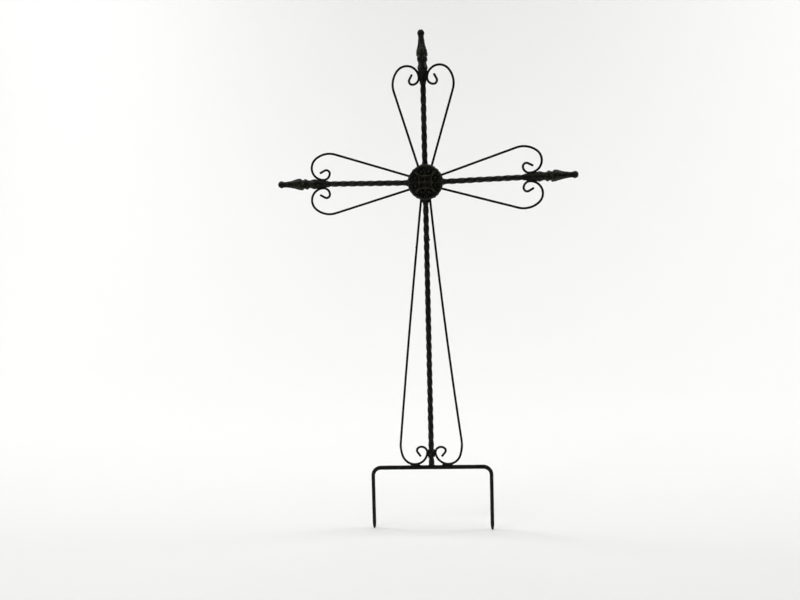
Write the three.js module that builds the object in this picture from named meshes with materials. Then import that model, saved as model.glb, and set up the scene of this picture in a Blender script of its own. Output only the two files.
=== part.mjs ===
import * as THREE from 'three';
import { mergeVertices } from 'three/addons/utils/BufferGeometryUtils.js';

// A grave cross of black painted wrought iron, in millimetres. X runs to the right, Y away
// from the viewer and Z up. The origin is on the ground, under the middle of the fork's
// cross rod, and the prongs below it go into the soil.

// Sizes of the whole cross
const crossHeight = 703.9; // ground to the centre of the rosette
const armReach = 364.5; // rosette centre to the tip of each finial
const armRise = 1.12; // degrees that each side arm rises towards its tip
const joinGap = 0.3; // left between neighbouring pieces where they are welded

// Twisted square bar
const barSide = 11.7;
const barCorner = 3; // radius of the worn corners
const twistPitch = 88.4; // length of one full turn, which winds left-handed
const twistSteps = 10; // sections in one full turn
const cornerLean = 35; // degrees from a corner's middle to each of the two edges that stand for it

// Round rods
const wireDia = 5.3;
const forkDia = 10;
const prongDia = 8.8; // the prongs are drawn out a little thinner than the cross rod
const rodSides = 8;
const turnStep = 18; // degrees between the sections of a bend

// Ground fork
const prongSpread = 293.4; // between the prongs' centre lines
const prongDepth = 150.4; // ground to the tip of a prong
const forkBend = 20; // centre line radius of the two corners
const rodSlope = 0.95; // degrees that the cross rod rises to the right
const pointLength = 18; // tapered end of a prong
const pointDia = 2.8; // left at the very tip

// Scrolls on the three short arms
const shortScroll = {
  rootOut: 18.5, // where the wire leaves its bar, from the rosette centre
  touchIn: 11.9, // where the curl touches the finial, in from the socket's mouth
  shoulderRadius: 52.8,
  shoulderTurn: 55.3,
  curlRadius: 29.2,
  curlTurn: 142.2,
  eyeRadius: 15.5,
  eyeTurn: 85.9,
  hookRadius: 8.6, // the tightest bend, before a straight tail
  hookTurn: 122,
  tailLength: 12.1,
};

// The long pair on the lower bar, bent by hand and not quite alike. Their runs aren't straight.
const bowSteps = 5; // sections of a bowed run
const longRootOut = 31.6;
const longLeftScroll = {
  rootOut: longRootOut,
  runBow: 1.26, // degrees that the run turns in towards the bar on its way
  shoulderRadius: 76.7,
  shoulderTurn: 24.9,
  curlRadius: 31.6,
  curlTurn: 155.3,
  eyeRadius: 13.9,
  eyeTurn: 132.7,
  hookRadius: 7.8,
  hookTurn: 88.7,
  tailLength: 11.9,
};
const longRightScroll = {
  rootOut: longRootOut,
  runBow: -2.41,
  shoulderRadius: 86,
  shoulderTurn: 26,
  curlRadius: 31.4,
  curlTurn: 151.6,
  eyeRadius: 13.9,
  eyeTurn: 137.7,
  hookRadius: 7.5,
  hookTurn: 91.5,
  tailLength: 12,
};

// Cast finials, with each place measured back from the tip
const ballRadius = 8.6;
const neckAt = 18;
const neckRadius = 6.9;
const flareAt = 57;
const flareRadius = 13.2;
const leafCount = 6; // leaves along the flare, and as many lobes on the ring
const leafDepth = 0.5; // a leaf stands out by this and the stem beside it lies back by as much
const stemFill = 2; // the stem between two leaves fills the notch by this much
const flareSlant = 3; // the flare and ring sit this much farther out on one side
const notchAt = 64;
const notchRadius = 10;
const ringAt = 71.5;
const ringRadius = 12.5;
const ringHalfWidth = 3.2;
const waistAt = 80.5;
const waistRadius = 9.4;
const collarAt = 92;
const collarRadius = 11.8;
const collarHalfWidth = 4.5;
const taperFrom = 99; // below the collar the casting narrows to its socket
const taperRadius = 10.4;
const taperTo = 109.5;
const socketRadius = 7.1;
const finialLength = 126;
const finialSides = 12;
const topLean = 1.6; // degrees that the top casting leans to the left above its collar

// Cast rosette
const rosetteRadius = 43.2;
const rosetteAside = 1.5; // the casting is welded on a little to the right of the crossing
const rosetteEdge = 5; // thickness at the rim
const rosetteDome = 6.5; // further rise of the middle over the rim
const rosetteScallops = 24;
const scallopDepth = 1.1;
const rimBandWidth = 7;
const rimBandHeight = 1.6;
const frameNear = 14.5; // rosette centre to the middle of each bowed rib
const frameCorner = 32; // rosette centre to where two bowed ribs meet
const ribWidth = 1.9;
const ribHeight = 2.2;
const palmetteRibOut = 2.4; // each of the twin ribs, from its axis
const palmetteLobeOut = 9; // each lobe, from its axis
const palmetteLobeAt = 23; // each lobe, out from the centre
const palmetteLobeRadius = 4.2;
const palmetteLobeHeight = 2.4;
const centreBossRadius = 3.4;
const centreBossHeight = 2;
const centreHollowOut = 6.4;
const centreHollowRadius = 3;
const centreHollowDepth = 1.6;
const rosetteAround = 64; // sections round the rosette
const rosetteRings = 12; // rings from the centre to the rim

// Places and radii that follow from the sizes above
const wireRadius = wireDia / 2;
const forkRadius = forkDia / 2;
const barReach = (barSide / 2 - barCorner) * Math.SQRT2 + barCorner; // axis to a worn corner
const wireOnBar = barReach + joinGap + wireRadius;
const wireOnSocket = socketRadius + joinGap + wireRadius;
const socketMouth = armReach - finialLength;
const barFoot = forkDia + joinGap;
const rosetteBack = barReach + joinGap;
const bowCentre = (frameCorner ** 2 - frameNear ** 2) / (Math.SQRT2 * frameCorner - 2 * frameNear);
const bowRadius = bowCentre - frameNear;

const paintedIron = { roughness: 0.55, metalness: 0.35 };

function radians(degrees) {
  return THREE.MathUtils.degToRad(degrees);
}

// Leaves only positions, joins the shared corners and drops triangles that closed up
function solidOf(geometry) {
  geometry.deleteAttribute('normal');
  geometry.deleteAttribute('uv');
  const merged = mergeVertices(geometry, 1e-3);
  const index = merged.getIndex().array;
  const kept = [];
  for (let i = 0; i < index.length; i += 3) {
    const [a, b, c] = [index[i], index[i + 1], index[i + 2]];
    if (a !== b && b !== c && c !== a) kept.push(a, b, c);
  }
  merged.setIndex(kept);
  merged.computeVertexNormals();
  return merged;
}

function piece(name, geometry, color) {
  const mesh = new THREE.Mesh(geometry, new THREE.MeshStandardMaterial({ color, ...paintedIron }));
  mesh.name = name;
  return mesh;
}

// Passes each corner of a geometry through a function that moves it
function reshape(geometry, move) {
  const corners = geometry.getAttribute('position');
  const corner = new THREE.Vector3();
  for (let i = 0; i < corners.count; i++) {
    corner.fromBufferAttribute(corners, i);
    move(corner);
    corners.setXYZ(i, corner.x, corner.y, corner.z);
  }
  return geometry;
}

// A wire's centre line in the XZ plane, with its stations given one by one, so that the
// bends get many sections and the straights few
class Wire extends THREE.Curve {
  constructor(stations) {
    super();
    this.stations = stations;
  }

  along(t) {
    const place = t * (this.stations.length - 1);
    const first = Math.min(Math.floor(place + 1e-9), this.stations.length - 2);
    return [this.stations[first], this.stations[first + 1], place - first];
  }

  getPointAt(t) {
    const [a, b, share] = this.along(t);
    return new THREE.Vector3(a.x + (b.x - a.x) * share, 0, a.z + (b.z - a.z) * share);
  }

  getTangentAt(t) {
    const [a, b, share] = this.along(t);
    const heading = a.heading + (b.heading - a.heading) * share;
    return new THREE.Vector3(Math.cos(heading), 0, Math.sin(heading));
  }
}

// Walks a pen along straights and bends; a bend turns left where its angle is positive
function walk(start, moves) {
  const pen = { ...start };
  const stations = [{ ...pen }];
  for (const { length = 0, radius = 0, turn = 0, sections } of moves) {
    const steps = sections ?? Math.max(1, Math.ceil(Math.abs(turn) / turnStep));
    const part = radians(turn) / steps;
    const stride = turn === 0 ? length : 2 * radius * Math.sin(Math.abs(part) / 2);
    for (let i = 0; i < steps; i++) {
      const chord = pen.heading + part / 2;
      pen.x += stride * Math.cos(chord);
      pen.z += stride * Math.sin(chord);
      pen.heading += part;
      stations.push({ ...pen });
    }
  }
  return stations;
}

function rodAlong(stations, radius) {
  const round = [];
  for (let i = 0; i < rodSides; i++) {
    const angle = (2 * Math.PI * i) / rodSides;
    round.push(new THREE.Vector2(radius * Math.cos(angle), radius * Math.sin(angle)));
  }
  const options = { steps: stations.length - 1, extrudePath: new Wire(stations) };
  return new THREE.ExtrudeGeometry(new THREE.Shape(round), options);
}

// The wire leaves its bar at rootOut, swings out and comes back to touch what the bar carries
// at touchAt from the axis. The chord and the heading of its run follow from both ends.
function scrollStations(scroll, farthest, touchAt, side) {
  const { rootOut, runBow = 0, shoulderRadius, curlRadius } = scroll;
  const toCurl = new THREE.Vector2(
    farthest - curlRadius - rootOut,
    touchAt + curlRadius - wireOnBar,
  );
  const bow = radians(runBow);
  const rightOf = (heading) => new THREE.Vector2(Math.sin(heading), -Math.cos(heading));
  const chord = new THREE.Vector2(Math.cos(bow / 2), -Math.sin(bow / 2));
  const bends = rightOf(-bow).multiplyScalar(shoulderRadius);
  bends.addScaledVector(
    rightOf(-bow - radians(scroll.shoulderTurn)),
    curlRadius - shoulderRadius,
  );
  const along = chord.dot(bends);
  const run = Math.sqrt(along ** 2 - bends.lengthSq() + toCurl.lengthSq()) - along;
  const unturned = chord.multiplyScalar(run).add(bends);
  const heading = Math.atan2(toCurl.y, toCurl.x) - Math.atan2(unturned.y, unturned.x);
  const start = { x: rootOut, z: side * wireOnBar, heading: side * heading };
  const bowRun = { radius: run / (2 * Math.sin(Math.abs(bow) / 2)), sections: bowSteps };
  return walk(start, [
    runBow === 0 ? { length: run } : { ...bowRun, turn: -side * runBow },
    { radius: shoulderRadius, turn: -side * scroll.shoulderTurn },
    { radius: curlRadius, turn: -side * scroll.curlTurn },
    { radius: scroll.eyeRadius, turn: -side * scroll.eyeTurn },
    { radius: scroll.hookRadius, turn: -side * scroll.hookTurn },
    { length: scroll.tailLength },
  ]);
}

// The cross rod rises to the right, so the right curl lands on it sooner than the left one
function landing(scroll, side) {
  const level = crossHeight - forkDia - joinGap - wireRadius;
  return level - side * (wireOnBar + scroll.curlRadius) * Math.tan(radians(rodSlope));
}

function scrollPiece(name, scroll, farthest, touchAt, side) {
  const stations = scrollStations(scroll, farthest, touchAt, side);
  return piece(name, solidOf(rodAlong(stations, wireRadius)), '#161513');
}

// A square bar with worn corners that runs along X from one end to the other, twisted so
// that a corner faces sideways where X is 0
function twistedBar(name, from, to) {
  const flat = barSide / 2 - barCorner;
  const section = new THREE.Shape();
  for (let corner = 0; corner < 4; corner++) {
    const middle = radians(90 * corner + 45);
    for (const lean of [-cornerLean, cornerLean]) {
      const face = middle + radians(lean);
      const x = flat * Math.SQRT2 * Math.cos(middle) + barCorner * Math.cos(face);
      const y = flat * Math.SQRT2 * Math.sin(middle) + barCorner * Math.sin(face);
      if (corner === 0 && lean < 0) section.moveTo(x, y);
      else section.lineTo(x, y);
    }
  }
  const length = to - from;
  const steps = Math.ceil((length / twistPitch) * twistSteps);
  const bar = new THREE.ExtrudeGeometry(section, { depth: length, steps, bevelEnabled: false });
  reshape(bar, (corner) => {
    const along = from + corner.z;
    const turned = Math.PI / 4 - (2 * Math.PI * along) / twistPitch;
    const across = new THREE.Vector2(corner.x, corner.y).rotateAround(new THREE.Vector2(), turned);
    corner.set(along, across.x, across.y);
  });
  return piece(name, solidOf(bar), '#1a1916');
}

// Rounded bead on the finial's profile
function bead(at, top, foot, halfWidth) {
  const points = [];
  for (const share of [-1, -0.6, 0, 0.6, 1]) {
    const rise = Math.sqrt(1 - share ** 2);
    points.push([at + share * halfWidth, foot + (top - foot) * rise]);
  }
  return points;
}

// One leaf lies at leafAngle and the slanted side of the casting faces along slantAngle, both
// in degrees about the arm
function finial(name, leafAngle, slantAngle, lean = 0) {
  const profile = [[0, 0]];
  for (const angle of [30, 60, 90, 120]) {
    const a = radians(angle);
    profile.push([ballRadius * (1 - Math.cos(a)), ballRadius * Math.sin(a)]);
  }
  profile.push([neckAt, neckRadius]);
  for (const share of [0.3, 0.6, 0.85, 1]) {
    const rise = 0.6 * share + 0.4 * share ** 2;
    profile.push([neckAt + (flareAt - neckAt) * share, neckRadius + (flareRadius - neckRadius) * rise]);
  }
  profile.push([notchAt, notchRadius]);
  profile.push(...bead(ringAt, ringRadius, notchRadius, ringHalfWidth));
  profile.push([waistAt, waistRadius]);
  profile.push(...bead(collarAt, collarRadius, taperRadius, collarHalfWidth));
  profile.push([taperFrom, taperRadius], [taperTo, socketRadius]);
  profile.push([finialLength, socketRadius], [finialLength, 0]);

  const outline = profile.map(([fromTip, radius]) => new THREE.Vector2(radius, armReach - fromTip));
  const turned = new THREE.LatheGeometry(outline, finialSides);
  reshape(turned, (corner) => {
    const fromTip = armReach - corner.y;
    const angle = Math.atan2(corner.z, corner.x);
    const radius = Math.hypot(corner.x, corner.z);
    const intoLeaves = (fromTip - neckAt) / (flareAt - neckAt);
    const outOfRing = (waistAt - fromTip) / (waistAt - ringAt);
    const leafShare = THREE.MathUtils.clamp(Math.min(intoLeaves, outOfRing), 0, 1);
    const leaf = Math.cos(leafCount * (angle - radians(leafAngle)));
    const inNotch = fromTip > flareAt + 0.01 && radius < notchRadius + 0.01 && fromTip < ringAt;
    const carved = leafDepth * leafShare * leaf + (inNotch ? (stemFill * (1 - leaf)) / 2 : 0);
    const swell = radius > 0.01 ? 1 + carved / radius : 1;
    const slantShare = Math.max(0, 1 - Math.abs(fromTip - flareAt) / (collarAt - flareAt));
    const slanted = slantShare * (radius / flareRadius) * Math.cos(angle - radians(slantAngle));
    const aside = Math.max(0, taperFrom - fromTip) * Math.tan(radians(lean));
    corner.set(corner.y + flareSlant * slanted, corner.x * swell, corner.z * swell + aside);
  });
  return piece(name, solidOf(turned), '#171613');
}

function ridge(distance, width) {
  return Math.exp(-((distance / width) ** 2));
}

// Height of the rosette's carving over its dome, at x across and z up from its centre
function rosetteRelief(x, z) {
  const fromCentre = Math.hypot(x, z);
  const near = Math.max(Math.abs(x), Math.abs(z));
  const beside = Math.min(Math.abs(x), Math.abs(z));
  const toBow = Math.hypot(near - bowCentre, beside) - bowRadius;
  let height = 0;
  if (fromCentre < frameCorner + ribWidth) height = ribHeight * ridge(toBow, ribWidth);
  if (toBow > 0) {
    height += ribHeight * 0.6 * ridge(beside, ribWidth * 0.8);
    height += centreBossHeight * ridge(fromCentre, centreBossRadius);
    const toHollow = Math.hypot(near - centreHollowOut, beside - centreHollowOut);
    height -= centreHollowDepth * ridge(toHollow, centreHollowRadius);
  } else {
    height += ribHeight * 0.8 * ridge(beside - palmetteRibOut, ribWidth * 0.8);
    const toLobe = Math.hypot(near - palmetteLobeAt, beside - palmetteLobeOut);
    height += palmetteLobeHeight * ridge(toLobe, palmetteLobeRadius);
  }
  const intoBand = fromCentre - (rosetteRadius - rimBandWidth);
  if (intoBand > 0) {
    const across = Math.sin((Math.PI * intoBand) / rimBandWidth);
    height = Math.max(height * (1 - across), rimBandHeight * across);
  }
  return height;
}

// A round casting with its flat back to the bars and its carved face towards -Y
function rosette(name) {
  const profile = [];
  for (let ring = 0; ring <= rosetteRings; ring++) {
    profile.push(new THREE.Vector2((rosetteRadius * ring) / rosetteRings, 1));
  }
  profile.push(new THREE.Vector2(rosetteRadius, 0), new THREE.Vector2(0, 0));
  const disc = new THREE.LatheGeometry(profile, rosetteAround);
  reshape(disc, (corner) => {
    const fromCentre = Math.hypot(corner.x, corner.z);
    const share = fromCentre / rosetteRadius;
    const angle = Math.atan2(corner.z, corner.x);
    const scallop = scallopDepth * (1 - Math.abs(Math.cos((rosetteScallops / 2) * angle)));
    const shrink = 1 - (scallop / rosetteRadius) * share ** 8;
    const dome = rosetteEdge + rosetteDome * Math.sqrt(Math.max(0, 1 - share ** 2));
    const carved = Math.max(1, dome + rosetteRelief(corner.x, corner.z));
    const front = corner.y > 0.5 ? carved : 0;
    corner.set(rosetteAside + corner.x * shrink, -rosetteBack - front, corner.z * shrink);
  });
  return piece(name, solidOf(disc), '#1d1c17');
}

// One rod bent to a wide staple: up the left prong, across and down the right one
function groundFork(name) {
  const half = prongSpread / 2;
  const prongTop = forkRadius - forkBend;
  const straight = prongTop + prongDepth - pointLength;
  const stations = walk({ x: -half, z: -prongDepth, heading: Math.PI / 2 }, [
    { length: pointLength * 0.3 },
    { length: pointLength * 0.7 },
    { length: straight },
    { radius: forkBend, turn: -90 },
    { length: prongSpread - 2 * forkBend },
    { radius: forkBend, turn: -90 },
    { length: straight },
    { length: pointLength * 0.7 },
    { length: pointLength * 0.3 },
  ]);
  const rod = rodAlong(stations, forkRadius);
  reshape(rod, (corner) => {
    const level = corner.z;
    if (level < prongTop + 0.01) {
      const fromTip = Math.min(1, Math.max(0, (level + prongDepth) / pointLength));
      const dia = pointDia + (prongDia - pointDia) * Math.sqrt(1 - (1 - fromTip) ** 2);
      const axis = half * Math.sign(corner.x);
      corner.x = axis + ((corner.x - axis) * dia) / forkDia;
      corner.y *= dia / forkDia;
    }
    if (level > prongTop - 0.01) corner.z += corner.x * Math.tan(radians(rodSlope));
  });
  return piece(name, solidOf(rod), '#151412');
}

// An arm's own frame has X out along the arm and Z to its left, seen from the front
function arm(angle, ...pieces) {
  const group = new THREE.Group();
  group.rotation.y = -radians(angle);
  group.add(...pieces);
  return group;
}

function shortPair(leftName, rightName) {
  return [
    scrollPiece(leftName, shortScroll, shortFarthest, wireOnSocket, 1),
    scrollPiece(rightName, shortScroll, shortFarthest, wireOnSocket, -1),
  ];
}

const sideBarStart = barReach * (1 + Math.tan(radians(armRise))) + joinGap;
const sideBarEnd = socketMouth - joinGap;
const shortFarthest = socketMouth + shortScroll.touchIn + shortScroll.curlRadius;

const hub = new THREE.Group();
hub.position.z = crossHeight;
hub.add(
  rosette('rosette'),
  arm(
    90,
    twistedBar('vertical_bar', barFoot - crossHeight, sideBarEnd),
    finial('top_finial', 0, 180, topLean),
    ...shortPair('top_left_scroll', 'top_right_scroll'),
  ),
  arm(
    180 - armRise,
    twistedBar('left_arm_bar', sideBarStart, sideBarEnd),
    finial('left_finial', 90, -90),
    ...shortPair('left_lower_scroll', 'left_upper_scroll'),
  ),
  arm(
    armRise,
    twistedBar('right_arm_bar', sideBarStart, sideBarEnd),
    finial('right_finial', 90, 90),
    ...shortPair('right_upper_scroll', 'right_lower_scroll'),
  ),
  arm(
    -90,
    scrollPiece('bottom_right_scroll', longRightScroll, landing(longRightScroll, 1), wireOnBar, 1),
    scrollPiece('bottom_left_scroll', longLeftScroll, landing(longLeftScroll, -1), wireOnBar, -1),
  ),
);

const cross = new THREE.Group();
cross.add(hub, groundFork('ground_fork'));

export default cross;
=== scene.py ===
import math

import bmesh
import bpy
from mathutils import Matrix, Vector, noise


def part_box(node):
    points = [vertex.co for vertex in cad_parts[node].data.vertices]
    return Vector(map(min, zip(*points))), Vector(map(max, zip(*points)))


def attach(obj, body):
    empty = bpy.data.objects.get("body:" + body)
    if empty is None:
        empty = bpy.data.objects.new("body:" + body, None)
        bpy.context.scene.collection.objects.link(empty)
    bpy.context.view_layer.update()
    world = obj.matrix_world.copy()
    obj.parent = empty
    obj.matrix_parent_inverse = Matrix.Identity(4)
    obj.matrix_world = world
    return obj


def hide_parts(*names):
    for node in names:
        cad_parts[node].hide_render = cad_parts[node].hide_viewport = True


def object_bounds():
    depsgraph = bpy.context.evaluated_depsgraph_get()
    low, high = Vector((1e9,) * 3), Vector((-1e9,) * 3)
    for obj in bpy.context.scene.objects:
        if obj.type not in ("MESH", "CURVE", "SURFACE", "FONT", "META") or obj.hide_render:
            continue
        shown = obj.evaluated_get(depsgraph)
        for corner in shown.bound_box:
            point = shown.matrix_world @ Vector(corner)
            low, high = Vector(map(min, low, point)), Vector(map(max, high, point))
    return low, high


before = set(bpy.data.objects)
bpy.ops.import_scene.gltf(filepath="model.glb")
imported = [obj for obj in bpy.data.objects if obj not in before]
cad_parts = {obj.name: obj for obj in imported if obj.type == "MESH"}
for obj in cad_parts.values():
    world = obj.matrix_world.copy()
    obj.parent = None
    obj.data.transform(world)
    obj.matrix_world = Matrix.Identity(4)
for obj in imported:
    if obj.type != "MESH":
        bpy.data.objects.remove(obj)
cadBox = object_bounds()
print("frame loaded with", len(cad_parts), "nodes")

# where the frame's own pieces put everything else
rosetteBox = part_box("rosette")
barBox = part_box("vertical_bar")
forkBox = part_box("ground_fork")
hub = Vector((0.0, 0.0, (rosetteBox[0].z + rosetteBox[1].z) / 2))
rosetteAside = (rosetteBox[0].x + rosetteBox[1].x) / 2
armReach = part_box("top_finial")[1].z - hub.z
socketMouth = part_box("top_finial")[0].z - hub.z
floorHeight = cadBox[0].z

# stock sizes, in metres and degrees like everything below
stock = {
    "wireRadius": 0.00265,
    "forkRadius": 0.005,
    "prongRadius": 0.0044,
    "paintCoat": 0.00015,   # dipped paint stands this thick on wires and rods
    "barSide": 0.0117,
    "barCorner": 0.003,
    "joinGap": 0.0003,
    "armRise": 1.12,        # each side arm rises by this angle
    "rodSlope": 0.95,       # the fork's cross rod rises to the right
    "topLean": 1.6,         # the top casting leans left above its collar
}
barFlat = stock["barSide"] / 2 - stock["barCorner"]
barReach = barFlat * math.sqrt(2) + stock["barCorner"]
wireOnBar = barReach + stock["joinGap"] + stock["wireRadius"]

armAngle = {
    "top": 90,
    "left": 180 - stock["armRise"],
    "right": stock["armRise"],
    "bottom": -90,
}


# camera, from the perspective of the photograph

cameraSettings = {
    "yaw": -6.65,           # the cross is seen a little from its right
    "pitch": 3.45,
    "roll": 1.42,
    "lens": 36.0,           # millimetres, like the sensor
    "sensor": 36.0,
    "hubFromAxis": (0.0611, 1.936, 0.2840),  # right, away and up of the camera's axis
}


def addCamera(s):
    turned = (
        Matrix.Rotation(-math.radians(s["roll"]), 3, "Y")
        @ Matrix.Rotation(math.radians(s["pitch"]), 3, "X")
        @ Matrix.Rotation(math.radians(s["yaw"]), 3, "Z")
    )
    right, away, up = turned.transposed().col
    across, depth, rise = s["hubFromAxis"]
    place = hub - right * across - away * depth - up * rise
    data = bpy.data.cameras.new("photoCamera")
    data.sensor_fit = "HORIZONTAL"
    data.sensor_width = s["sensor"]
    data.lens = s["lens"]
    camera = bpy.data.objects.new("photoCamera", data)
    axes = Matrix((right, up, -away)).transposed()
    camera.matrix_world = Matrix.Translation(place) @ axes.to_4x4()
    bpy.context.scene.collection.objects.link(camera)
    bpy.context.scene.camera = camera


addCamera(cameraSettings)
print("camera placed")


# mesh helpers

def addPiece(name, verts, faces):
    mesh = bpy.data.meshes.new(name)
    mesh.from_pydata(verts, [], faces)
    work = bmesh.new()
    work.from_mesh(mesh)
    bmesh.ops.remove_doubles(work, verts=work.verts, dist=1e-6)
    bmesh.ops.recalc_face_normals(work, faces=work.faces)
    work.to_mesh(mesh)
    work.free()
    for face in mesh.polygons:
        face.use_smooth = True
    piece = bpy.data.objects.new(name, mesh)
    bpy.context.scene.collection.objects.link(piece)
    return piece


# how far the carving stands up at each vertex, 0 to 1, for the colour to follow: the ribs get painted
# highlight together with rubbed wear, and the hollows are left darker as painted shade
def markRise(piece, riseAt):
    rise = piece.data.attributes.new("rise", "FLOAT", "POINT")
    for vert in piece.data.vertices:
        rise.data[vert.index].value = min(1.0, max(0.0, riseAt(vert.co)))


# closed skin over rings of equal size, with a flat fan on each end
def skin(rings):
    size = len(rings[0])
    verts = [point for ring in rings for point in ring]
    lastRing = len(verts) - size
    faces = []
    for first in range(0, lastRing, size):
        for i in range(size):
            a = first + i
            b = first + (i + 1) % size
            faces.append((a, b, b + size, a + size))
    for ring, first in ((rings[0], 0), (rings[-1], lastRing)):
        verts.append(sum(ring, Vector()) / size)
        middle = len(verts) - 1
        for i in range(size):
            faces.append((first + i, first + (i + 1) % size, middle))
    return verts, faces


# arm frame (out along the arm, depth, left of it) to the row's frame
def onArm(arm, out, depth, left):
    a = math.radians(armAngle[arm])
    x = out * math.cos(a) - left * math.sin(a)
    z = out * math.sin(a) + left * math.cos(a)
    return Vector((hub.x + x, hub.y + depth, hub.z + z))


# noise vectors start from the clock unless seeded, and every run has to give the same part
noise.seed_set(7)


# uneven hand work: a slow wander of a point
def wander(point, size, amount, seed=0.0):
    shifted = point / size + Vector((seed, seed * 1.7, seed * 0.6))
    return noise.noise_vector(shifted) * amount


def blendBetween(a, b, t):
    return a + (b - a) * t


def ridge(distance, width):
    return math.exp(-((distance / width) ** 2))


# twisted square bars

barShape = {
    "pitch": 0.0884,        # one full turn, left-handed
    "ringStep": 0.0015,
    "cornerPoints": 6,
    "flatPoints": 2,
    "dent": 0.00022,        # hammered and paint-filled unevenness
    "dentSize": 0.011,
    "dentFade": 0.004,      # the dents fade out over this length at each end
    "bulge": 0.035,         # share by which some quarter turns stand prouder
    "bulgeLength": 0.03,
    "bulgeSeed": (4.2, 0.5),
}


def barSection():
    points = []
    steps = barShape["cornerPoints"]
    for corner in range(4):
        middle = math.radians(90 * corner + 45)
        centre = Vector((math.cos(middle), math.sin(middle))) * barFlat * math.sqrt(2)
        for i in range(steps):
            face = middle + math.radians(-45 + 90 * i / (steps - 1))
            points.append(centre + Vector((math.cos(face), math.sin(face))) * stock["barCorner"])
    full = []
    between = barShape["flatPoints"]
    for i, point in enumerate(points):
        full.append(point)
        if i % steps == steps - 1:
            after = points[(i + 1) % len(points)]
            for k in range(1, between + 1):
                full.append(point.lerp(after, k / (between + 1)))
    return full


def addTwistedBar(name, arm, start, end):
    s = barShape
    section = barSection()
    count = max(2, round((end - start) / s["ringStep"]))
    rings = []
    for i in range(count + 1):
        out = blendBetween(start, end, i / count)
        turned = math.pi / 4 - 2 * math.pi * out / s["pitch"]
        proud = 1 + s["bulge"] * noise.noise(Vector((out / s["bulgeLength"], *s["bulgeSeed"])))
        fade = min(1.0, (out - start) / s["dentFade"], (end - out) / s["dentFade"])
        ring = []
        for point in section:
            x = (point.x * math.cos(turned) - point.y * math.sin(turned)) * proud
            y = (point.x * math.sin(turned) + point.y * math.cos(turned)) * proud
            place = onArm(arm, out, x, y)
            ring.append(place + wander(place, s["dentSize"], s["dent"]) * fade)
        rings.append(ring)
    return addPiece(name, *skin(rings))


# round wires and rods along a walked path

wireShape = {
    "sides": 16,
    "bendStep": 3.0,        # degrees between rings in a bend
    "straightStep": 0.006,
    "dent": 0.00012,
    "dentSize": 0.02,
    "dentSeed": 3.1,
    "tailRings": 4,
    "tailLength": 0.55,     # share of the radius by which paint rounds a snipped end
    "tailTip": 0.12,        # share of the radius left at the very end
    "tailRound": 0.6,       # the lower, the blunter the end
}

curlSize = {"short": 0.0292, "longLeft": 0.0316, "longRight": 0.0314}
socketTouch = 0.0119    # the short curls touch the socket this far past its mouth
socketRadius = 0.0071

shortScroll = {
    "rootOut": 0.0185,
    "farthest": socketMouth + socketTouch + curlSize["short"],
    "touch": socketRadius + stock["joinGap"] + stock["wireRadius"],
    "shoulder": (0.0528, 55.3),             # radius, turn
    "curl": (curlSize["short"], 142.2),
    "eye": (0.0155, 85.9),
    "hook": (0.0086, 122.0),
    "tail": 0.0121,
    "runBow": 0.0,
}


# the cross rod slopes, so the long wires land on it at two heights
def landing(curl, side):
    level = hub.z - 2 * stock["forkRadius"] - stock["joinGap"] - stock["wireRadius"]
    return level - side * (wireOnBar + curl) * math.tan(math.radians(stock["rodSlope"]))


# the long pair was bent by hand: runBow is how far each run turns in on its way
longLeftScroll = {
    "rootOut": 0.0316,
    "farthest": landing(curlSize["longLeft"], -1),
    "touch": wireOnBar,
    "runBow": 1.26,
    "shoulder": (0.0767, 24.9),
    "curl": (curlSize["longLeft"], 155.3),
    "eye": (0.0139, 132.7),
    "hook": (0.0078, 88.7),
    "tail": 0.0119,
}

longRightScroll = {
    "rootOut": 0.0316,
    "farthest": landing(curlSize["longRight"], 1),
    "touch": wireOnBar,
    "runBow": -2.41,
    "shoulder": (0.0860, 26.0),
    "curl": (curlSize["longRight"], 151.6),
    "eye": (0.0139, 137.7),
    "hook": (0.0075, 91.5),
    "tail": 0.0120,
}


# moves are (length, radius, turn): a straight one has no turn, a bend needs no length
def walkPath(start, heading, moves):
    x, y = start
    stations = [(x, y, heading)]
    for length, radius, turn in moves:
        steps = 1
        if turn:
            length = radius * math.radians(abs(turn))
            steps = max(2, math.ceil(abs(turn) / wireShape["bendStep"]))
        steps = max(steps, math.ceil(length / wireShape["straightStep"]))
        part = math.radians(turn) / steps
        stride = 2 * radius * math.sin(abs(part) / 2) if turn else length / steps
        for _ in range(steps):
            x += stride * math.cos(heading + part / 2)
            y += stride * math.sin(heading + part / 2)
            heading += part
            stations.append((x, y, heading))
    return stations


# the run is as long, and leaves the bar at such an angle, that the curl lands where it touches
def scrollPath(s, side):
    root = s["rootOut"]
    shoulderRadius, shoulderTurn = s["shoulder"]
    curlRadius, curlTurn = s["curl"]
    eyeRadius, eyeTurn = s["eye"]
    hookRadius, hookTurn = s["hook"]
    toCurl = Vector((s["farthest"] - curlRadius - root, s["touch"] + curlRadius - wireOnBar))
    bow = math.radians(s["runBow"])

    def rightOf(heading):
        return Vector((math.sin(heading), -math.cos(heading)))

    chord = Vector((math.cos(bow / 2), -math.sin(bow / 2)))
    bends = rightOf(-bow) * shoulderRadius
    bends += rightOf(-bow - math.radians(shoulderTurn)) * (curlRadius - shoulderRadius)
    along = chord.dot(bends)
    run = math.sqrt(along ** 2 - bends.length_squared + toCurl.length_squared) - along
    unturned = chord * run + bends
    heading = math.atan2(toCurl.y, toCurl.x) - math.atan2(unturned.y, unturned.x)
    if bow:
        firstMove = (0, run / (2 * math.sin(abs(bow) / 2)), -side * s["runBow"])
    else:
        firstMove = (run, 0, 0)
    return walkPath((root, side * wireOnBar), side * heading, [
        firstMove,
        (0, shoulderRadius, -side * shoulderTurn),
        (0, curlRadius, -side * curlTurn),
        (0, eyeRadius, -side * eyeTurn),
        (0, hookRadius, -side * hookTurn),
        (s["tail"], 0, 0),
    ])


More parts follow.
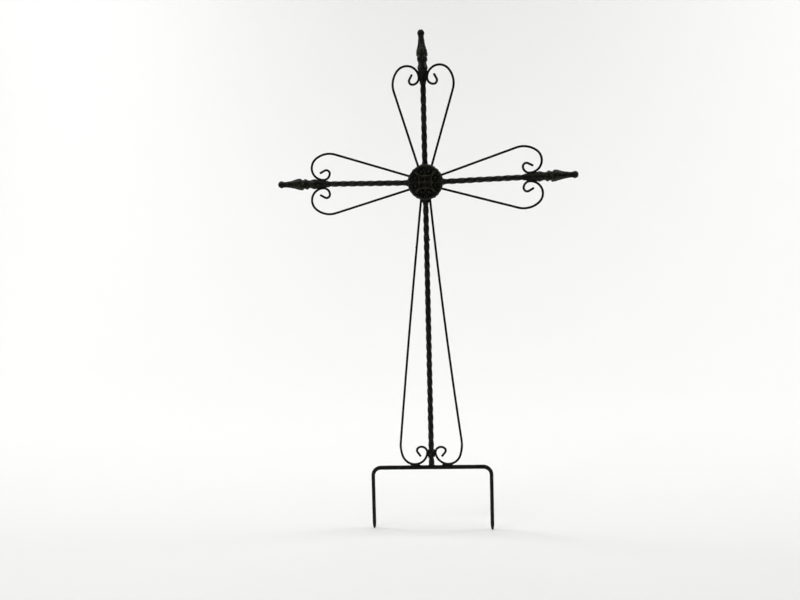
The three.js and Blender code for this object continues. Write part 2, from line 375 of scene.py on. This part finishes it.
# one ring around the path at x, y, square to its heading
def rodRing(toRow, x, y, heading, width):
    ring = []
    for i in range(wireShape["sides"]):
        a = 2 * math.pi * i / wireShape["sides"]
        out = width * math.cos(a)
        ring.append(toRow(x - out * math.sin(heading), width * math.sin(a), y + out * math.cos(heading)))
    return ring


# widthAt gives the rod's width at a place of its path, as a share of the full one
def rodRings(stations, toRow, radius, widthAt=None):
    s = wireShape
    rings = []
    last = len(stations) - 1
    for n, (x, y, heading) in enumerate(stations):
        width = radius * (widthAt(x, y) if widthAt else 1.0)
        ring = rodRing(toRow, x, y, heading, width)
        if 0 < n < last:
            ring = [p + wander(p, s["dentSize"], s["dent"], s["dentSeed"]) for p in ring]
        rings.append(ring)
    return rings


# the snipped end of a wire is rounded over by paint
def tailRings(end, toRow, radius):
    s = wireShape
    x, y, heading = end
    rings = []
    for i in range(1, s["tailRings"] + 1):
        a = math.pi / 2 * i / s["tailRings"]
        along = radius * s["tailLength"] * math.sin(a)
        width = radius * max(s["tailTip"], math.cos(a) ** s["tailRound"])
        place = (x + along * math.cos(heading), y + along * math.sin(heading))
        rings.append(rodRing(toRow, *place, heading, width))
    return rings


def addScroll(name, arm, s, side):
    stations = scrollPath(s, side)
    radius = stock["wireRadius"] + stock["paintCoat"]

    def toRow(out, depth, left):
        return onArm(arm, out, depth, left)

    rings = rodRings(stations, toRow, radius) + tailRings(stations[-1], toRow, radius)
    return addPiece(name, *skin(rings))


# ground fork

forkShape = {
    "bend": 0.020,
    "pointLength": 0.018,
    "pointWidth": 0.22,     # share of the rod's width left at the very tip
    "pointRings": 9,
}


def addFork(name):
    radius = stock["forkRadius"]
    prong = stock["prongRadius"]
    half = (forkBox[1].x - forkBox[0].x) / 2 - prong
    tip = forkBox[0].z
    bend = forkShape["bend"]
    point = forkShape["pointLength"]
    prongTop = radius - bend
    straight = prongTop - tip - point
    taper = [(point / forkShape["pointRings"], 0, 0)] * forkShape["pointRings"]
    leg = (straight, 0, 0)
    corner = (0, bend, -90)
    crossRod = (2 * half - 2 * bend, 0, 0)
    stations = walkPath((-half, tip), math.pi / 2, [*taper, leg, corner, crossRod, corner, leg, *taper])

    def drawn(x, z):
        share = min(1.0, max(0.0, (z - tip) / point))
        least = forkShape["pointWidth"]
        rounded = least + (1 - least) * math.sqrt(max(0.0, 1 - (1 - share) ** 2))
        bent = min(1.0, max(0.0, (z - prongTop) / (radius - prongTop)))
        return rounded * blendBetween(prong / radius, 1.0, bent)

    # both tips stay level, and the slope of the cross rod is taken up along the prongs
    def sloped(x, depth, z):
        share = min(1.0, max(0.0, (z - tip - point) / straight))
        return Vector((x, depth, z + share * x * math.tan(math.radians(stock["rodSlope"]))))

    rings = rodRings(stations, sloped, radius + stock["paintCoat"], drawn)
    return addPiece(name, *skin(rings))


# cast finials, with every place measured back from the tip

finialShape = {
    "length": 0.126,
    "around": 72,
    "ringStep": 0.0006,
    # place, radius
    "profile": [
        (0.0160, 0.0068), (0.0190, 0.0069), (0.0280, 0.0078), (0.0370, 0.0090), (0.0450, 0.0108),
        (0.0515, 0.0128), (0.0565, 0.0136), (0.0600, 0.0135), (0.0618, 0.0102), (0.0645, 0.0094),
        (0.0668, 0.0106), (0.0692, 0.0126), (0.0730, 0.0125), (0.0752, 0.0106), (0.0785, 0.0095),
        (0.0815, 0.0096), (0.0850, 0.0106), (0.0880, 0.0117), (0.0920, 0.0120), (0.0965, 0.0113),
        (0.0990, 0.0104), (0.1095, 0.0072), (0.1260, 0.0072),
    ],
    "ball": 0.0086,
    "ballNeck": 1.5,        # the ball ends this many of its radii back
    "tipCap": 0.25,         # share of the first ring's width that caps the tip
    "flareRadius": 0.0136,
    "leaves": 6,
    "leafFrom": 0.022,
    "leafTo": 0.064,
    "leafDepth": 0.0026,
    "leafSwell": 1.6,       # above 1 the leaves are fullest towards the flare
    "leafRound": 0.8,
    "leafSink": 0.6,        # share of the depth that is cut below the profile between leaves
    "veinDepth": 0.25,
    "veinWidth": 0.16,
    # the leaf tips stand out along the flare's edge: place, length, spread, roundness
    "leafTips": (0.0585, 0.0012, 0.004, 1.5),
    # a lobed ring and a beaded collar: place, height, how many around
    "ringLobes": (0.0715, 0.0005, 6),
    "collarBeads": (0.0920, 0.0005, 10),
    "beadSpread": 0.003,
    # the stems between the leaves fill the notch and thicken waist and collar: place, height
    "stems": [(0.0640, 0.0021), (0.0805, 0.0005), (0.0905, 0.0007)],
    "stemSpread": 0.0036,
    "leanFrom": 0.099,
    # the casting sits askew: one side of flare and ring lies this much nearer the tip
    "slant": 0.003,
    "slantFrom": 0.022,
    "slantTo": 0.089,
    "castRough": 0.00042,
    "castSize": 0.0042,
    "castSeed": 7.0,
    "castFade": 0.004,
    "socketFrom": 0.098,
    "socketRough": 0.4,     # share of the roughness that the cleaned socket keeps
    "paintedLightByRise": (0.35, 0.0024),  # tone of the plain profile, height that raises it by 1, for the ribs' painted highlight and rubbed wear
}


def finialRadius(back):
    s = finialShape
    ball = s["ball"]
    neck = ball * s["ballNeck"]
    if back < neck:
        return math.sqrt(max(0.0, ball ** 2 - (back - ball) ** 2))
    points = [(neck, ball * math.sqrt(1 - (s["ballNeck"] - 1) ** 2))] + s["profile"]
    for (a, ra), (b, rb) in zip(points, points[1:]):
        if back <= b:
            t = (back - a) / (b - a)
            t = t * t * (3 - 2 * t)
            return blendBetween(ra, rb, t)
    return points[-1][1]


# height of the leaves, stems and beads cast on the finial
def leafRelief(back, angle):
    s = finialShape
    height = 0.0
    if s["leafFrom"] < back < s["leafTo"]:
        share = (back - s["leafFrom"]) / (s["leafTo"] - s["leafFrom"])
        swell = math.sin(math.pi * share ** s["leafSwell"])
        wave = abs(math.cos(s["leaves"] * angle / 2)) ** s["leafRound"]
        vein = s["veinDepth"] * ridge(math.sin(s["leaves"] * angle / 2), s["veinWidth"])
        height += s["leafDepth"] * swell * (wave - s["leafSink"] - vein)
    stem = (1 - math.cos(s["leaves"] * angle)) / 2
    for place, rise in s["stems"]:
        height += rise * ridge(back - place, s["stemSpread"]) * stem
    for place, rise, count in (s["ringLobes"], s["collarBeads"]):
        height += rise * ridge(back - place, s["beadSpread"]) * math.cos(count * angle)
    return height


# one leaf lies at leafAngle, and lean turns the casting left above its collar
def addFinial(name, arm, leafAngle, slantAngle, lean=0.0):
    s = finialShape
    count = round(s["length"] / s["ringStep"])
    tipsAt, tipLength, tipSpread, tipRound = s["leafTips"]

    def leanAt(back):
        return max(0.0, s["leanFrom"] - back) * math.tan(math.radians(lean))

    rings = []
    for i in range(1, count + 1):
        back = s["length"] * i / count
        base = finialRadius(back)
        window = 0.0
        if s["slantFrom"] < back < s["slantTo"]:
            share = (back - s["slantFrom"]) / (s["slantTo"] - s["slantFrom"])
            window = math.sin(math.pi * share)
        rough = s["castRough"] * min(1.0, (s["length"] - back) / s["castFade"])
        if s["socketFrom"] < back:
            rough *= s["socketRough"]
        ring = []
        for k in range(s["around"]):
            angle = 2 * math.pi * k / s["around"]
            onLeaf = angle - math.radians(leafAngle)
            radius = base + leafRelief(back, onLeaf)
            towards = math.cos(angle - math.radians(slantAngle))
            out = armReach - back + s["slant"] * window * towards * base / s["flareRadius"]
            # each leaf tip reaches back over the notch
            tips = ridge(back - tipsAt, tipSpread) * abs(math.cos(s["leaves"] * onLeaf / 2)) ** tipRound
            out -= tipLength * tips
            place = onArm(arm, out, radius * math.cos(angle), radius * math.sin(angle) + leanAt(back))
            ring.append(place + wander(place, s["castSize"], rough, s["castSeed"]))
        rings.append(ring)
    tip = onArm(arm, armReach, 0, leanAt(0.0))
    rings.insert(0, [tip.lerp(p, s["tipCap"]) for p in rings[0]])
    piece = addPiece(name, *skin(rings))
    middle = onArm(arm, 0, 0, 0)
    outwards = (onArm(arm, armReach, 0, 0) - middle).normalized()
    across = Vector((-outwards.z, 0, outwards.x))
    # the carving's ribs are painted paler, as painted highlight and rubbed wear, and its hollows are left
    # dark as painted shade
    plain, span = s["paintedLightByRise"]

    def riseAt(co):
        back = armReach - (co - middle).dot(outwards)
        angle = math.atan2((co - middle).dot(across) - leanAt(back), co.y)
        return plain + leafRelief(back, angle - math.radians(leafAngle)) / span

    markRise(piece, riseAt)
    return piece


# cast rosette

rosetteShape = {
    "radius": 0.0432,
    "uneven": 0.0009,       # the rim wanders out of round
    "unevenScale": 1.7,
    "rimHold": 8,           # the higher, the nearer to the rim its scallops die out
    "edge": 0.005,
    "dome": 0.0065,
    "leastDepth": 0.001,
    "scallops": 24,
    "scallopDepth": 0.0011,
    "bandWidth": 0.007,
    "bandHeight": 0.0018,
    "bandBeads": 0.25,      # share of the band's height that beads make uneven
    "frameNear": 0.0145,    # the bowed ribs stand this near the middle, and meet at the corner
    "frameCorner": 0.031,
    "ribWidth": 0.0018,
    "ribHeight": 0.0034,
    "crossRib": (0.6, 0.7),     # height and width of the centre's cross, as shares of a rib's
    "twinRib": (0.8, 0.6),      # the same for the two ribs in each leaf field
    "twinOut": 0.0026,
    "lobeOut": 0.009,
    "lobeAt": 0.0235,
    "lobeSize": 0.0036,
    "lobeHeight": 0.0030,
    "lobeHollow": 0.0026,
    "lobeGroove": (1.7, 0.5),   # how far out it runs and how wide, as shares of lobeSize
    "fieldDepth": 0.0014,       # the four leaf fields lie lower than the centre
    "fieldSlope": 0.003,
    "bossSize": 0.003,
    "bossHeight": 0.0024,
    "hollowOut": 0.0064,
    "hollowSize": 0.0027,
    "hollowDepth": 0.0030,
    "hollowBead": (0.5, 0.35),  # height and size of the bead in it, as shares of the hollow's
    "veins": 22,
    "veinDepth": 0.0009,
    "veinFrom": 0.02,
    "veinFade": 0.01,
    "veinRoot": 0.4,            # the veins fan out from this share of frameNear
    "around": 288,
    "rings": 96,
    "ringCrowd": 0.85,          # below 1 the rings crowd towards the rim
    "backMiddle": 0.002,        # the back is closed flat from a ring of this radius
    "backInset": 0.0006,        # the back's edge is broken by this much
    "castRough": 0.0003,
    "castSize": 0.003,
    "castSeed": 11.0,
    "paintedLightByRise": (0.45, 0.006),  # tone of the plain dome, height that raises it by 1, for the ribs' painted highlight and rubbed wear
}


def rosetteRelief(x, z):
    s = rosetteShape
    corner, nearest = s["frameCorner"], s["frameNear"]
    bowCentre = (corner ** 2 - nearest ** 2) / (math.sqrt(2) * corner - 2 * nearest)
    bowRadius = bowCentre - nearest
    fromCentre = math.hypot(x, z)
    near, beside = max(abs(x), abs(z)), min(abs(x), abs(z))
    toBow = math.hypot(near - bowCentre, beside) - bowRadius
    height = 0.0
    if fromCentre < corner + 2 * s["ribWidth"]:
        fade = min(1.0, (corner + 2 * s["ribWidth"] - fromCentre) / s["ribWidth"])
        height += s["ribHeight"] * ridge(toBow, s["ribWidth"]) * fade
    if toBow > 0:
        crossHeight, crossWidth = s["crossRib"]
        height += s["ribHeight"] * crossHeight * ridge(beside, s["ribWidth"] * crossWidth)
        height += s["bossHeight"] * ridge(fromCentre, s["bossSize"])
        toHollow = math.hypot(near - s["hollowOut"], beside - s["hollowOut"])
        beadHeight, beadSize = s["hollowBead"]
        height -= s["hollowDepth"] * ridge(toHollow, s["hollowSize"])
        height += s["hollowDepth"] * beadHeight * ridge(toHollow, s["hollowSize"] * beadSize)
    else:
        height -= s["fieldDepth"] * min(1.0, -toBow / s["fieldSlope"])
        twinHeight, twinWidth = s["twinRib"]
        height += s["ribHeight"] * twinHeight * ridge(beside - s["twinOut"], s["ribWidth"] * twinWidth)
        toLobe = math.hypot(near - s["lobeAt"], beside - s["lobeOut"])
        grooveOut, grooveWidth = s["lobeGroove"]
        height += s["lobeHeight"] * ridge(toLobe, s["lobeSize"])
        height -= s["lobeHollow"] * ridge(toLobe - s["lobeSize"] * grooveOut, s["lobeSize"] * grooveWidth)
        fan = math.atan2(beside, near - s["frameNear"] * s["veinRoot"])
        deep = min(1.0, max(0.0, (near - s["veinFrom"]) / s["veinFade"]))
        height += s["veinDepth"] * math.cos(fan * s["veins"]) * deep
    intoBand = fromCentre - (s["radius"] - s["bandWidth"])
    if intoBand > 0:
        across = math.sin(math.pi * min(1.0, intoBand / s["bandWidth"]))
        beads = 1 - s["bandBeads"] + s["bandBeads"] * math.cos(s["scallops"] * math.atan2(z, x))
        height = height * (1 - across) + s["bandHeight"] * across * beads
    return height


def rimRadius(angle):
    s = rosetteShape
    scallop = s["scallopDepth"] * (1 - abs(math.cos(s["scallops"] / 2 * angle)))
    around = Vector((math.cos(angle), math.sin(angle), 0.0))
    return s["radius"] - scallop + s["uneven"] * noise.noise(around * s["unevenScale"])


def addRosette(name):
    s = rosetteShape
    back = rosetteBox[1].y
    centreX = hub.x + rosetteAside
    angles = [2 * math.pi * k / s["around"] for k in range(s["around"])]
    rings = [[], []]
    for a in angles:
        x, z = math.cos(a), math.sin(a)
        edge = rimRadius(a) - s["backInset"]
        rings[0].append(Vector((centreX + x * s["backMiddle"], back, hub.z + z * s["backMiddle"])))
        rings[1].append(Vector((centreX + x * edge, back, hub.z + z * edge)))
    for i in range(s["rings"], 0, -1):
        share = (i / s["rings"]) ** s["ringCrowd"]
        ring = []
        for a in angles:
            radius = blendBetween(s["radius"], rimRadius(a), share ** s["rimHold"]) * share
            x, z = radius * math.cos(a), radius * math.sin(a)
            dome = s["edge"] + s["dome"] * math.sqrt(max(0.0, 1 - share ** 2))
            front = max(s["leastDepth"], dome + rosetteRelief(x, z))
            place = Vector((centreX + x, back - front, hub.z + z))
            ring.append(place + wander(place, s["castSize"], s["castRough"], s["castSeed"]))
        rings.append(ring)
    piece = addPiece(name, *skin(rings))
    # the carving's ribs are painted paler, as painted highlight and rubbed wear, and its hollows are left
    # dark as painted shade
    plain, span = s["paintedLightByRise"]
    markRise(piece, lambda co: rosetteRelief(co.x - centreX, co.z - hub.z) / span + plain)
    return piece


# weld beads at the joins

weldShape = {
    "lump": 0.3,
    "lumpSize": 0.0035,
    "detail": 4,
    "seedStep": 0.37,
    "curlEndTurn": 22,
    "spatterOut": (0.138, 0.158),   # how far down the lower bar and the long left wire
    "spatterSink": 0.8,             # share of the wire's radius
    # each bead's place from its join, then its half size, both along, in depth and across the arm
    "beads": {
        "seamBack": ((0.001, 0.0026, -0.0002), (0.0085, 0.0016, 0.0018)),
        "seamFront": ((0.001, -0.0026, -0.0002), (0.0085, 0.0016, 0.0018)),
        "curlStart": ((-0.0075, 0.0, -0.0008), (0.0048, 0.0028, 0.0017)),
        "curlEnd": ((0.0125, 0.0, 0.0022), (0.0040, 0.0024, 0.0016)),
        "wireRoot": ((0.003, 0.0, 0.0008), (0.0050, 0.0030, 0.0020)),
        "socket": ((-0.0015, 0.0, 0.0), (0.0050, 0.0070, 0.0071)),
        "armRoot": ((0.0425, 0.0, 0.0), (0.0058, 0.0072, 0.0082)),
        "longWireRoot": ((0.004, 0.0, 0.001), (0.0130, 0.0034, 0.0026)),
        "curlOnBar": ((0.005, 0.0, 0.0001), (0.0108, 0.0036, 0.0021)),
        "curlOnRod": ((-0.0004, 0.0, -0.002), (0.0027, 0.0038, 0.0136)),
        "lowerRoot": ((0.044, 0.0, 0.0), (0.0080, 0.0072, 0.0080)),
        "foot": ((-0.0006, 0.0, 0.0), (0.0026, 0.0074, 0.0076)),
        "footRun": ((0.0004, -0.0008, 0.0006), (0.0022, 0.0066, 0.0082)),
        "spatterOnBar": ((0.0, 0.0, 0.0), (0.0022, 0.0020, 0.0020)),
        "spatterOnWire": ((0.0, 0.0, 0.0), (0.0018, 0.0014, 0.0014)),
    },
}


def weldBlob(verts, faces, centre, axes, seed):
    work = bmesh.new()
    bmesh.ops.create_icosphere(work, subdivisions=weldShape["detail"], radius=1.0)
    first = len(verts)
    for vert in work.verts:
        place = centre + axes[0] * vert.co.x + axes[1] * vert.co.y + axes[2] * vert.co.z
        lump = noise.noise(place / weldShape["lumpSize"] + Vector((seed, 0, 0)))
        verts.append(centre + (place - centre) * (1 + weldShape["lump"] * lump))
    for face in work.faces:
        faces.append(tuple(first + v.index for v in face.verts))
    work.free()


def armAxes(arm, along, depth, across, turn):
    a = math.radians(armAngle[arm] + turn)
    out = Vector((math.cos(a), 0, math.sin(a)))
    left = Vector((-math.sin(a), 0, math.cos(a)))
    return [out * along, Vector((0, depth, 0)), left * across]


def addWelds():
    groups = {}

    # the join is at out along the arm and at left from it, on the side given
    def bead(group, kind, arm, out, left=0.0, side=1, turn=0.0):
        verts, faces = groups.setdefault(group, ([], []))
        (along, depth, away), size = weldShape["beads"][kind]
        centre = onArm(arm, out + along, depth, side * (left + away))
        weldBlob(verts, faces, centre, armAxes(arm, *size, turn), len(verts) * weldShape["seedStep"])

    radius = stock["wireRadius"]
    curlTouch = shortScroll["farthest"] - shortScroll["curl"][0]
    seam = shortScroll["touch"] - radius
    for arm in ("top", "left", "right"):
        for side in (1, -1):
            bead("scroll_welds", "seamBack", arm, curlTouch, seam, side)
            bead("scroll_welds", "seamFront", arm, curlTouch, seam, side)
            bead("scroll_welds", "curlStart", arm, curlTouch, seam, side)
            bead("scroll_welds", "curlEnd", arm, curlTouch, seam, side, side * weldShape["curlEndTurn"])
            bead("hub_welds", "wireRoot", arm, shortScroll["rootOut"], barReach, side)
        bead("scroll_welds", "socket", arm, socketMouth)
        bead("hub_welds", "armRoot", arm, 0.0)
    for scroll, side in ((longRightScroll, 1), (longLeftScroll, -1)):
        curlRadius = scroll["curl"][0]
        bead("hub_welds", "longWireRoot", "bottom", scroll["rootOut"], barReach, side)
        bead("scroll_welds", "curlOnBar", "bottom", scroll["farthest"] - curlRadius, barReach, side)
        rodTop = scroll["farthest"] + radius
        landed = scroll["touch"] + curlRadius
        bead("fork_welds", "curlOnRod", "bottom", rodTop, landed, side, -stock["rodSlope"])
    bead("hub_welds", "lowerRoot", "bottom", 0.0)
    foot = hub.z - barBox[0].z
    bead("fork_welds", "foot", "bottom", foot)
    bead("fork_welds", "footRun", "bottom", foot)
    # weld spatter on the lower bar and on the long left wire
    onBar, onWire = weldShape["spatterOut"]
    bead("hub_welds", "spatterOnBar", "bottom", onBar, barReach)
    wirePath = scrollPath(longLeftScroll, -1)
    wireOut, wireLeft, _ = min(wirePath, key=lambda station: abs(station[0] - onWire))
    bead("hub_welds", "spatterOnWire", "bottom", wireOut, wireLeft - radius * weldShape["spatterSink"])
    return [addPiece(name, *mesh) for name, mesh in sorted(groups.items())]


# build everything

bars = {
    "vertical_bar": addTwistedBar("verticalBar", "top", barBox[0].z - hub.z, barBox[1].z - hub.z),
}
sideStart = barReach * (1 + math.tan(math.radians(stock["armRise"]))) + stock["joinGap"]
sideEnd = socketMouth - stock["joinGap"]
for arm in ("left", "right"):
    bars[arm + "_arm_bar"] = addTwistedBar(arm + "ArmBar", arm, sideStart, sideEnd)
print("bars twisted")

castings = {
    "rosette": addRosette("rosetteCasting"),
    "top_finial": addFinial("topFinial", "top", 0, 180, stock["topLean"]),
    "left_finial": addFinial("leftFinial", "left", 90, -90),
    "right_finial": addFinial("rightFinial", "right", 90, 90),
}
print("castings made")

scrolls = {}
for node, arm, shape, side in (
    ("top_left_scroll", "top", shortScroll, 1),
    ("top_right_scroll", "top", shortScroll, -1),
    ("left_lower_scroll", "left", shortScroll, 1),
    ("left_upper_scroll", "left", shortScroll, -1),
    ("right_upper_scroll", "right", shortScroll, 1),
    ("right_lower_scroll", "right", shortScroll, -1),
    ("bottom_right_scroll", "bottom", longRightScroll, 1),
    ("bottom_left_scroll", "bottom", longLeftScroll, -1),
):
    words = node.split("_")
    scrolls[node] = addScroll(words[0] + words[1].title() + "Scroll", arm, shape, side)
rods = {"ground_fork": addFork("groundFork")}
print("wires and fork bent")

welds = addWelds()
print("welds laid")


# materials

def linear(hexColour):
    channels = []
    for i in (1, 3, 5):
        c = int(hexColour[i:i + 2], 16) / 255
        channels.append(c / 12.92 if c <= 0.04045 else ((c + 0.055) / 1.055) ** 2.4)
    return (*channels, 1.0)


# stops are for a colour ramp, which comes with two
def addNode(tree, kind, inputs=None, stops=None, **settings):
    node = tree.nodes.new(kind)
    for name, value in settings.items():
        setattr(node, name, value)
    for name, value in (inputs or {}).items():
        if isinstance(value, bpy.types.NodeSocket):
            tree.links.new(value, node.inputs[name])
        else:
            node.inputs[name].default_value = value
    if stops:
        for element, (place, colour) in zip(node.color_ramp.elements, stops):
            element.position = place
            element.color = colour
    return node


# Satin black enamel, brushed or dipped over iron: a dark skin with a soft broad shine, which
# pulls a little at the edges, so corners look thinner and greyer. Bumps are in metres.
# each wear colour serves the rubbed edges and, on the castings, the painted highlight on the carving's
# ribs
enamel = {
    # hammered square bar: the rubbed corners of the twist catch the light
    "bar": {
        "name": "satinEnamelOnTwistedBar",
        "base": "#0b0a09", "pale": "#191815", "wearAndHighlight": "#3d3a33",
        "rough": (0.24, 0.44),
        "grainMm": 0.5, "grainBump": 0.0003,
        "lumpMm": 6.0, "lumpBump": 0.0016,
    },
    # sand casting: the sand's grain breaks up the shine, and the hollows stay near black as painted shade
    # beside the ribs' painted highlight
    "casting": {
        "name": "satinEnamelOnSandCasting",
        "base": "#070705", "pale": "#12120d", "wearAndHighlight": "#3c3a2b",
        "rough": (0.30, 0.50),
        "grainMm": 0.7, "grainBump": 0.0006,
        "lumpMm": 3.5, "lumpBump": 0.0018,
    },
    # drawn wire: smooth and even, with one thin soft glint along it
    "wire": {
        "name": "satinEnamelOnDrawnWire",
        "base": "#080807", "pale": "#11110f", "wearAndHighlight": "#2b2926",
        "rough": (0.32, 0.48),
        "grainMm": 0.4, "grainBump": 0.0002,
        "lumpMm": 5.0, "lumpBump": 0.0006,
    },
    # rolled rod: a duller shine in patches, as handling and soil leave it
    "rod": {
        "name": "satinEnamelOnRodScuffed",
        "base": "#050504", "pale": "#12110d", "wearAndHighlight": "#322e26",
        "rough": (0.30, 0.50),
        "grainMm": 0.5, "grainBump": 0.0003,
        "lumpMm": 5.0, "lumpBump": 0.0008,
    },
    # weld bead: paint over spatter, lumpy and almost without shine
    "weld": {
        "name": "satinEnamelOnWeldBead",
        "base": "#0b0a09", "pale": "#181713", "wearAndHighlight": "#33302a",
        "rough": (0.45, 0.62),
        "grainMm": 0.5, "grainBump": 0.0004,
        "lumpMm": 2.0, "lumpBump": 0.0010,
    },
}

# The same for all. The grain is real and shows only close up, so the lumps are drawn coarser
# than such paint's own waves and carry the finish from afar.
enamelPattern = {
    "patchMm": 22.0,
    "patchStops": (0.35, 0.72),
    "shineFrom": 0.3,
    "shineTo": 0.7,
    "rubMm": 4.0,
    "rubStops": (0.275, 0.36),
    "riseStops": (0.45, 0.95),
    "riseHighlightAndWear": 0.75,       # how far the carving's ribs go to the worn colour: painted highlight and rubbed wear
    "lumpStrength": 0.5,
    "grainStrength": 0.35,
    "specular": 0.12,       # matched to the photograph, where the paint hardly shines
}


def enamelMaterial(s):
    pattern = enamelPattern
    black, white = (0, 0, 0, 1), (1, 1, 1, 1)
    # the colour the carving's ribs go to: painted highlight and rubbed wear
    ribHighlightAndWear = (pattern["riseHighlightAndWear"],) * 3 + (1,)
    material = bpy.data.materials.new(s["name"])
    material.use_nodes = True
    tree = material.node_tree
    tree.nodes.clear()
    place = addNode(tree, "ShaderNodeTexCoord").outputs["Object"]
    patches = addNode(tree, "ShaderNodeTexNoise", {
        "Vector": place, "Scale": 1000 / pattern["patchMm"], "Detail": 6.0, "Roughness": 0.6,
    })
    tint = addNode(
        tree, "ShaderNodeValToRGB", {"Fac": patches.outputs["Fac"]},
        stops=zip(pattern["patchStops"], (linear(s["base"]), linear(s["pale"]))),
    )
    # corners that stand proud are rubbed through to a paler grey
    geometry = addNode(tree, "ShaderNodeNewGeometry")
    rubbing = addNode(tree, "ShaderNodeTexNoise", {
        "Vector": place, "Scale": 1000 / pattern["rubMm"], "Detail": 4.0,
    })
    rubbed = addNode(
        tree, "ShaderNodeMath", {0: rubbing.outputs["Fac"], 1: geometry.outputs["Pointiness"]},
        operation="MULTIPLY",
    )
    worn = addNode(
        tree, "ShaderNodeValToRGB", {"Fac": rubbed.outputs[0]},
        stops=zip(pattern["rubStops"], (black, white)),
    )
    # painted light: the carving's ribs are painted paler, as painted highlight and rubbed wear, so its
    # hollows stay dark as painted shade
    rise = addNode(tree, "ShaderNodeAttribute", attribute_name="rise")
    carved = addNode(
        tree, "ShaderNodeValToRGB", {"Fac": rise.outputs["Fac"]},
        stops=zip(pattern["riseStops"], (black, ribHighlightAndWear)),
    )
    ribbed = addNode(tree, "ShaderNodeMix", {
        "Factor": carved.outputs["Color"], "A": tint.outputs["Color"], "B": linear(s["wearAndHighlight"]),
    }, data_type="RGBA")
    mixed = addNode(tree, "ShaderNodeMix", {
        "Factor": worn.outputs["Color"], "A": ribbed.outputs["Result"], "B": linear(s["wearAndHighlight"]),
    }, data_type="RGBA")
    low, high = s["rough"]
    shine = addNode(tree, "ShaderNodeMapRange", {
        "Value": patches.outputs["Fac"], "From Min": pattern["shineFrom"], "From Max": pattern["shineTo"],
        "To Min": low, "To Max": high,
    })
    lumps = addNode(tree, "ShaderNodeTexNoise", {
        "Vector": place, "Scale": 1000 / s["lumpMm"], "Detail": 2.0,
    })
    lumpBump = addNode(tree, "ShaderNodeBump", {
        "Height": lumps.outputs["Fac"], "Distance": s["lumpBump"], "Strength": pattern["lumpStrength"],
    })
    grain = addNode(tree, "ShaderNodeTexNoise", {
        "Vector": place, "Scale": 1000 / s["grainMm"], "Detail": 3.0,
    })
    grainBump = addNode(tree, "ShaderNodeBump", {
        "Height": grain.outputs["Fac"], "Distance": s["grainBump"], "Strength": pattern["grainStrength"],
        "Normal": lumpBump.outputs["Normal"],
    })
    shader = addNode(tree, "ShaderNodeBsdfPrincipled", {
        "Base Color": mixed.outputs["Result"],
        "Roughness": shine.outputs["Result"],
        "Normal": grainBump.outputs["Normal"],
        "Metallic": 0.0,
        "IOR": 1.5,
        "Specular IOR Level": pattern["specular"],
    })
    addNode(tree, "ShaderNodeOutputMaterial", {"Surface": shader.outputs["BSDF"]})
    return material


finish = {key: enamelMaterial(s) for key, s in enamel.items()}

for group, key, slotName in (
    (bars, "bar", "painted_bar"),
    (castings, "casting", "painted_casting"),
    (scrolls, "wire", "painted_wire"),
    (rods, "rod", "painted_rod"),
):
    for node, piece in group.items():
        piece.data.materials.append(finish[key])
        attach(piece, "root")
        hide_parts(node)
for piece in welds:
    piece.data.materials.append(finish["weld"])
    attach(piece, "root")
print("finishes on")


# studio: a pale paper sweep and soft light

studio = {
    "paper": "#f4f4f3",
    "paperRough": 0.9,
    "halfWidth": 9.0,
    "front": -6.0,
    "back": 4.0,
    "curve": 2.8,
    "curveSteps": 40,
    "height": 7.0,
    "roomLight": 0.10,
    "roomSeen": 0.90,
    # place, target, size, watts
    "softboxes": {
        "backdropLightLeft": ((-3.6, 0.7, 3.4), (-1.7, 4.0, 1.1), (2.6, 1.8), 112),
        "backdropLightRight": ((3.4, 0.7, 3.4), (1.3, 4.0, 1.1), (2.6, 1.8), 108),
        "floorLight": ((0.0, 0.0, 3.6), (0.0, -0.7, 0.0), (4.0, 2.4), 61),
        "keyLight": ((-1.5, -1.7, 2.3), (0.0, 0.0, 0.6), (0.5, 0.5), 12),
    },
}


def addSweep(s):
    profile = [(s["front"], 0.0)]
    for i in range(s["curveSteps"] + 1):
        a = math.pi / 2 * i / s["curveSteps"]
        profile.append((s["back"] - s["curve"] + s["curve"] * math.sin(a), s["curve"] * (1 - math.cos(a))))
    profile.append((s["back"], s["height"]))
    verts = []
    for y, z in profile:
        for x in (-s["halfWidth"], s["halfWidth"]):
            verts.append((x, y, floorHeight + z))
    faces = [(2 * i, 2 * i + 1, 2 * i + 3, 2 * i + 2) for i in range(len(profile) - 1)]
    sweep = addPiece("paperSweep", verts, faces)
    # matt paper spreads the light with no glint, so floor and backdrop run into one
    material = bpy.data.materials.new("mattPaperSweep")
    material.use_nodes = True
    tree = material.node_tree
    tree.nodes.clear()
    shader = addNode(tree, "ShaderNodeBsdfPrincipled", {
        "Base Color": linear(s["paper"]), "Roughness": s["paperRough"],
    })
    addNode(tree, "ShaderNodeOutputMaterial", {"Surface": shader.outputs["BSDF"]})
    sweep.data.materials.append(material)


def addSoftbox(name, place, target, size, power):
    data = bpy.data.lights.new(name, "AREA")
    data.shape = "RECTANGLE"
    data.size, data.size_y = size
    data.energy = power
    light = bpy.data.objects.new(name, data)
    light.location = place
    light.rotation_euler = (Vector(target) - Vector(place)).to_track_quat("-Z", "Y").to_euler()
    bpy.context.scene.collection.objects.link(light)


# dim as a light, but as pale as the paper where a side view sees past the sweep
def addRoom(s):
    world = bpy.data.worlds.new("softRoom")
    world.use_nodes = True
    tree = world.node_tree
    seen = addNode(tree, "ShaderNodeLightPath").outputs["Is Camera Ray"]
    glow = addNode(tree, "ShaderNodeMapRange", {
        "Value": seen, "To Min": s["roomLight"], "To Max": s["roomSeen"],
    })
    background = tree.nodes["Background"]
    background.inputs["Color"].default_value = linear("#ffffff")
    tree.links.new(glow.outputs["Result"], background.inputs["Strength"])
    bpy.context.scene.world = world


addSweep(studio)
for name, settings in studio["softboxes"].items():
    addSoftbox(name, *settings)
addRoom(studio)
bpy.context.scene.view_settings.view_transform = "Standard"
print("studio lit")
